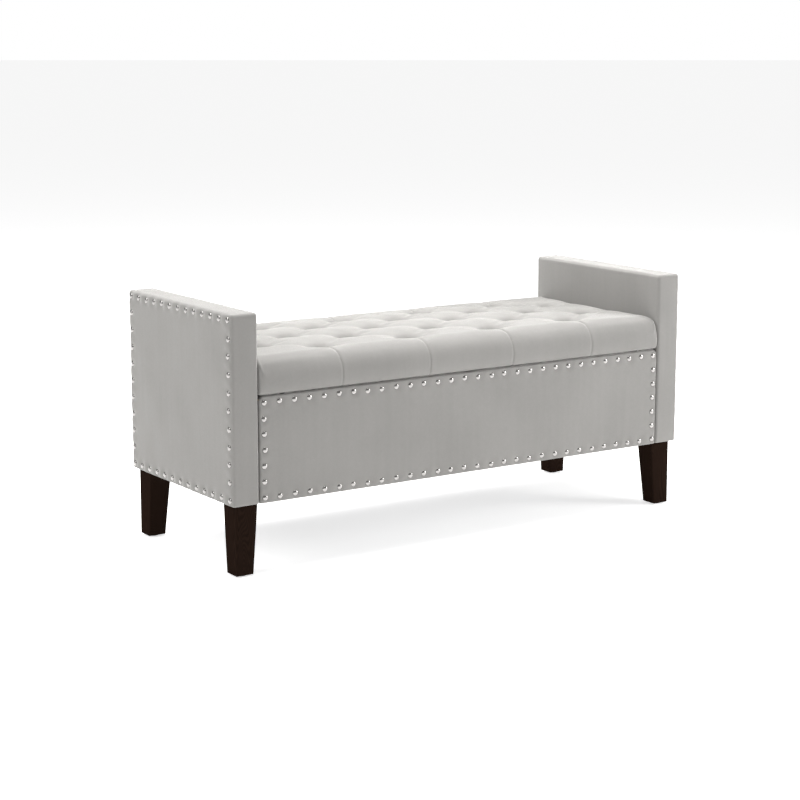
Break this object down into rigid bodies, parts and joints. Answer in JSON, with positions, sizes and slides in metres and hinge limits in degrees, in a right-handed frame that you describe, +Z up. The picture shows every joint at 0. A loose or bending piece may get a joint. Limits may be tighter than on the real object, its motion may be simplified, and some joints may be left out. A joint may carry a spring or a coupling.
{
  "type": "storage bench",
  "caption": "Upholstered storage bench with raised slab arms, a hinged tufted lid on gas struts, nailhead trim and tapered dark wood legs.",
  "frame": {"origin": "on the floor, under the middle of the bench's overall box", "axes": "+X along the length to the right of someone facing the front, -Y out of the front, +Z up"},
  "size_m": [1.2192, 0.47, 0.5588],
  "materials": {
    "velvet": "matte",
    "plywood": "matte",
    "pine": "matte",
    "espresso_wood": "satin",
    "lining": "matte",
    "nail_silver": "polished",
    "zinc_steel": "satin",
    "strut_black": "satin",
    "rod_chrome": "polished",
    "bumper_rubber": "matte",
    "glide_nylon": "matte"
  },
  "bodies": {
    "carcass": {"left_arm_cover": "velvet", "left_arm_outer_skin": "plywood", "left_arm_inner_skin": "plywood", "left_arm_top_rail": "pine", "left_arm_bottom_rail": "pine", "left_arm_front_stile": "pine", "left_arm_back_stile": "pine", "left_nails": "nail_silver", "right_arm_cover": "velvet", "right_arm_outer_skin": "plywood", "right_arm_inner_skin": "plywood", "right_arm_top_rail": "pine", "right_arm_bottom_rail": "pine", "right_arm_front_stile": "pine", "right_arm_back_stile": "pine", "right_nails": "nail_silver", "front_board": "plywood", "front_cover": "velvet", "front_batten": "pine", "back_board": "plywood", "back_cover": "velvet", "back_batten": "pine", "front_nails": "nail_silver", "floor_board": "plywood", "dust_cover": "lining", "front_left_leg": "espresso_wood", "front_left_leg_bolt": "zinc_steel", "front_left_glide": "glide_nylon", "front_right_leg": "espresso_wood", "front_right_leg_bolt": "zinc_steel", "front_right_glide": "glide_nylon", "back_left_leg": "espresso_wood", "back_left_leg_bolt": "zinc_steel", "back_left_glide": "glide_nylon", "back_right_leg": "espresso_wood", "back_right_leg_bolt": "zinc_steel", "back_right_glide": "glide_nylon", "left_hinge_panel_leaf": "zinc_steel", "left_hinge_pin": "zinc_steel", "left_strut_wall_bracket": "zinc_steel", "right_hinge_panel_leaf": "zinc_steel", "right_hinge_pin": "zinc_steel", "right_strut_wall_bracket": "zinc_steel"},
    "lid": {"lid_cushion": "velvet", "lid_board": "plywood", "lid_lining": "lining", "left_hinge_lid_leaf": "zinc_steel", "left_strut_lid_bracket": "zinc_steel", "left_bumper": "bumper_rubber", "right_hinge_lid_leaf": "zinc_steel", "right_strut_lid_bracket": "zinc_steel", "right_bumper": "bumper_rubber"},
    "left_cylinder": {"left_strut_cylinder": "strut_black"},
    "left_rod": {"left_strut_rod": "rod_chrome"},
    "right_cylinder": {"right_strut_cylinder": "strut_black"},
    "right_rod": {"right_strut_rod": "rod_chrome"}
  },
  "joints": [
    {"name": "lid_hinge", "type": "hinge", "parent": "carcass", "child": "lid", "pos_m": [0, 0.23025, 0.38375], "axis": [-1, 0, 0], "range_deg": [0, 82]},
    {"name": "left_cylinder_pivot", "type": "hinge", "parent": "carcass", "child": "left_cylinder", "pos_m": [-0.5311, 0.18442, 0.2096], "axis": [-1, 0, 0], "range_deg": [0, 41]},
    {"name": "left_rod_pivot", "type": "hinge", "parent": "lid", "child": "left_rod", "pos_m": [-0.5311, 0.05093, 0.36725], "axis": [-1, 0, 0], "range_deg": [-41, 0]},
    {"name": "right_cylinder_pivot", "type": "hinge", "parent": "carcass", "child": "right_cylinder", "pos_m": [0.5311, 0.18442, 0.2096], "axis": [-1, 0, 0], "range_deg": [0, 41]},
    {"name": "right_rod_pivot", "type": "hinge", "parent": "lid", "child": "right_rod", "pos_m": [0.5311, 0.05093, 0.36725], "axis": [-1, 0, 0], "range_deg": [-41, 0]}
  ],
  "couplings": [
    {"joint": "left_cylinder_pivot", "follows": "lid_hinge", "ratio": 0.5},
    {"joint": "left_rod_pivot", "follows": "lid_hinge", "ratio": -0.5},
    {"joint": "right_cylinder_pivot", "follows": "lid_hinge", "ratio": 0.5},
    {"joint": "right_rod_pivot", "follows": "lid_hinge", "ratio": -0.5}
  ]
}
